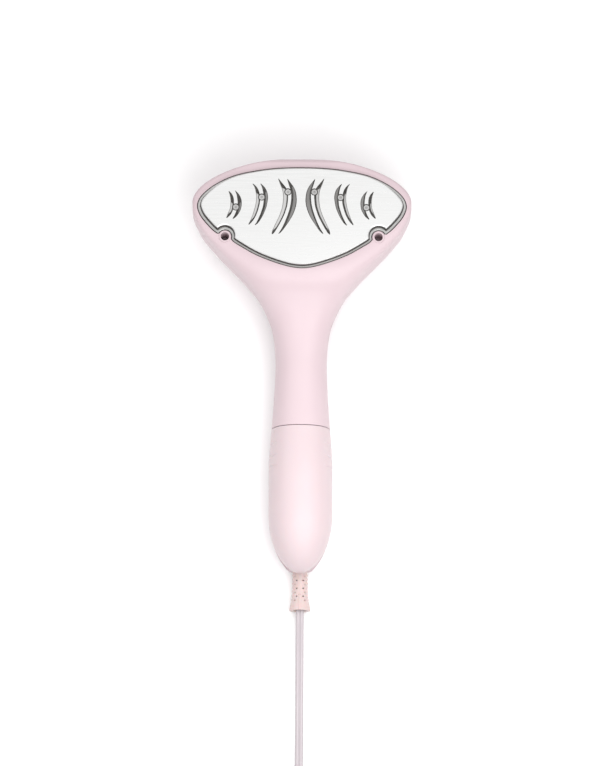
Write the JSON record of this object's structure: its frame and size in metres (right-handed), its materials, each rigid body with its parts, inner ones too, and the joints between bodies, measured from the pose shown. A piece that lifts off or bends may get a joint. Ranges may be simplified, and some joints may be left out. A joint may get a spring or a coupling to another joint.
{
  "type": "garment steamer",
  "caption": "Handheld garment steamer with a wide steam plate, slim handle with a slide-off water tank, and a flat mains lead with plug.",
  "frame": {"origin": "centre of the object's footprint on the surface it lies on, without its free mains lead", "axes": "+Z out of the steam plate, +Y from the handle to the head, +X to the right as the plate is looked at"},
  "size_m": [0.17, 0.4665, 0.06],
  "materials": {
    "shell": "satin pale pink moulded plastic",
    "tank": "satin pale pink moulded plastic, slightly warmer",
    "steel": "polished stainless steel",
    "fastener": "zinc plated steel",
    "aluminium": "die cast",
    "copper": "taped copper winding",
    "silicone": "translucent silicone",
    "black_plastic": "matte",
    "white_plastic": "matte",
    "board": "solder masked laminate",
    "relief": "soft moulded vinyl, salmon pink",
    "cord": "smooth flexible vinyl, very pale pink",
    "plug": "moulded vinyl, very pale pink",
    "tie": "soft strap",
    "lens": "clear diffused"
  },
  "bodies": {
    "body": {"front_shell": "shell", "rear_shell": "shell", "steam_plate": "steel", "plate_seal": "silicone", "heater_block": "aluminium", "heating_element": "fastener", "thermostat": "white_plastic", "thermal_fuse": "fastener", "heat_shield": "white_plastic", "pump_body": "white_plastic", "pump_coil": "copper", "pump_spring": "fastener", "suction_hose": "silicone", "steam_hose": "silicone", "control_board": "board", "power_relay": "black_plastic", "steam_switch": "black_plastic", "power_switch": "black_plastic", "indicator_lens": "lens", "head_screw_1": "fastener", "head_screw_2": "fastener", "neck_screw_1": "fastener", "neck_screw_2": "fastener", "clamp_screw_1": "fastener", "clamp_screw_2": "fastener", "tank_dock": "white_plastic", "dock_seal": "silicone", "spine_deck": "white_plastic", "mains_lead": "cord", "cord_clamp": "white_plastic", "heater_lead_1": "white_plastic", "heater_lead_2": "white_plastic", "strain_relief": "relief", "power_cord": "cord", "cord_coil": "cord", "cord_tail": "cord", "cord_tie": "tie", "plug_body": "plug", "plug_blade_1": "fastener", "plug_blade_2": "fastener"},
    "tank": {"water_tank": "tank", "tank_cap": "silicone", "pickup_tube": "silicone", "pickup_filter": "white_plastic"},
    "steam_button_body": {"steam_button": "shell"},
    "power_button_body": {"power_button": "shell"},
    "steam_plunger_body": {"steam_plunger": "white_plastic"},
    "power_plunger_body": {"power_plunger": "white_plastic"},
    "pump_piston_body": {"pump_piston": "fastener"}
  },
  "joints": [
    {"name": "tank_slide", "type": "slide", "parent": "body", "child": "tank", "axis": [0, -1, 0], "range_m": [0, 0.105]},
    {"name": "steam_button_press", "type": "slide", "parent": "body", "child": "steam_button_body", "axis": [0, 0, 1], "range_m": [0, 0.0012], "stiffness_N_per_m": 800, "springref_m": -0.0008},
    {"name": "steam_plunger_press", "type": "slide", "parent": "body", "child": "steam_plunger_body", "axis": [0, 0, 1], "range_m": [0, 0.0012]},
    {"name": "power_button_press", "type": "slide", "parent": "body", "child": "power_button_body", "axis": [0, 0, 1], "range_m": [0, 0.0012], "stiffness_N_per_m": 800, "springref_m": -0.0008},
    {"name": "power_plunger_press", "type": "slide", "parent": "body", "child": "power_plunger_body", "axis": [0, 0, 1], "range_m": [0, 0.0012]},
    {"name": "piston_stroke", "type": "slide", "parent": "body", "child": "pump_piston_body", "axis": [0, 1, 0], "range_m": [0, 0.0015], "stiffness_N_per_m": 400}
  ],
  "couplings": [
    {"joint": "steam_plunger_press", "follows": "steam_button_press", "ratio": 1},
    {"joint": "power_plunger_press", "follows": "power_button_press", "ratio": 1}
  ]
}
